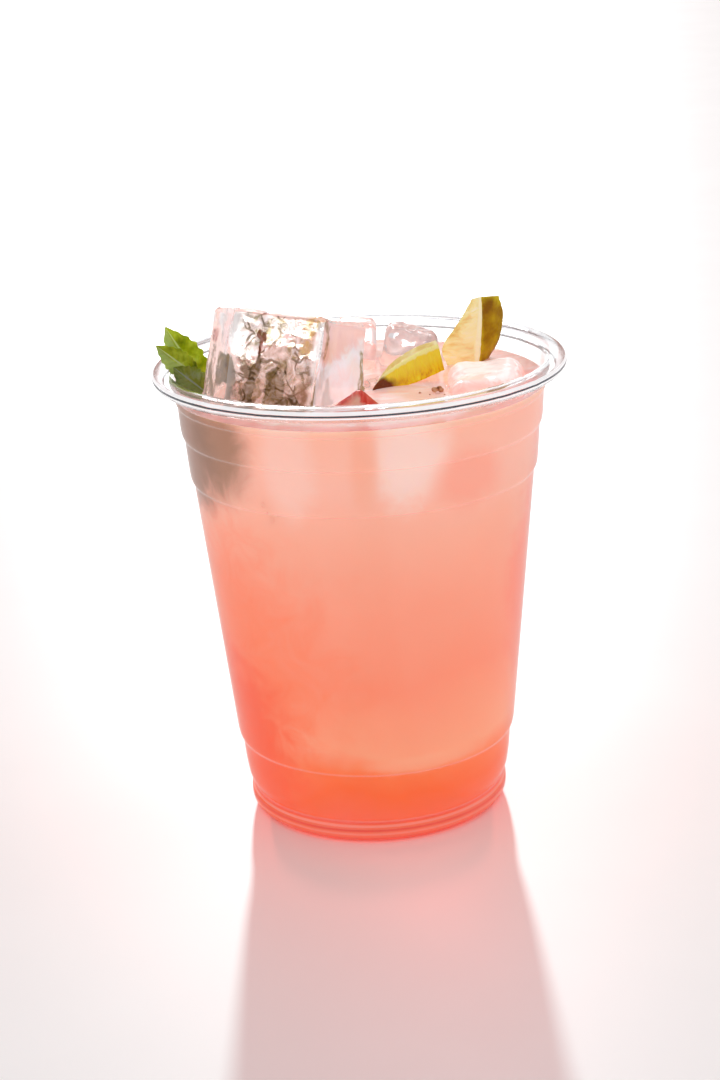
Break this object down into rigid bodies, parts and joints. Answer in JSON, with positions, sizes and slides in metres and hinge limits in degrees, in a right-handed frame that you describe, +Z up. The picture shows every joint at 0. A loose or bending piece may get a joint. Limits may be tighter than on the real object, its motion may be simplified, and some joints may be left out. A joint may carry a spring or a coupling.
{
  "type": "glass of lemonade",
  "caption": "Clear plastic tumbler of pink lemonade with ice cubes, lemon wedges, a strawberry slice and mint standing in it.",
  "frame": {"origin": "centre of the cup's standing ring, on the surface that it stands on", "axes": "+Z up along the cup's axis, -Y towards the side that the picture shows, +X to the right seen from there"},
  "size_m": [0.098, 0.098, 0.128],
  "materials": {
    "clear_plastic": "clear polished plastic",
    "lemonade": "cloudy pink liquid",
    "ice": "wet melting ice",
    "lemon": "cut lemon",
    "strawberry": "wet cut strawberry",
    "mint": "fresh leaf"
  },
  "bodies": {
    "root": {"cup": "clear_plastic", "drink": "lemonade", "ice_front": "ice", "ice_back": "ice", "ice_back_right": "ice", "ice_right": "ice", "lemon_front": "lemon", "lemon_back": "lemon", "strawberry": "strawberry", "mint_upper": "mint", "mint_side": "mint", "mint_lower": "mint"}
  },
  "joints": []
}
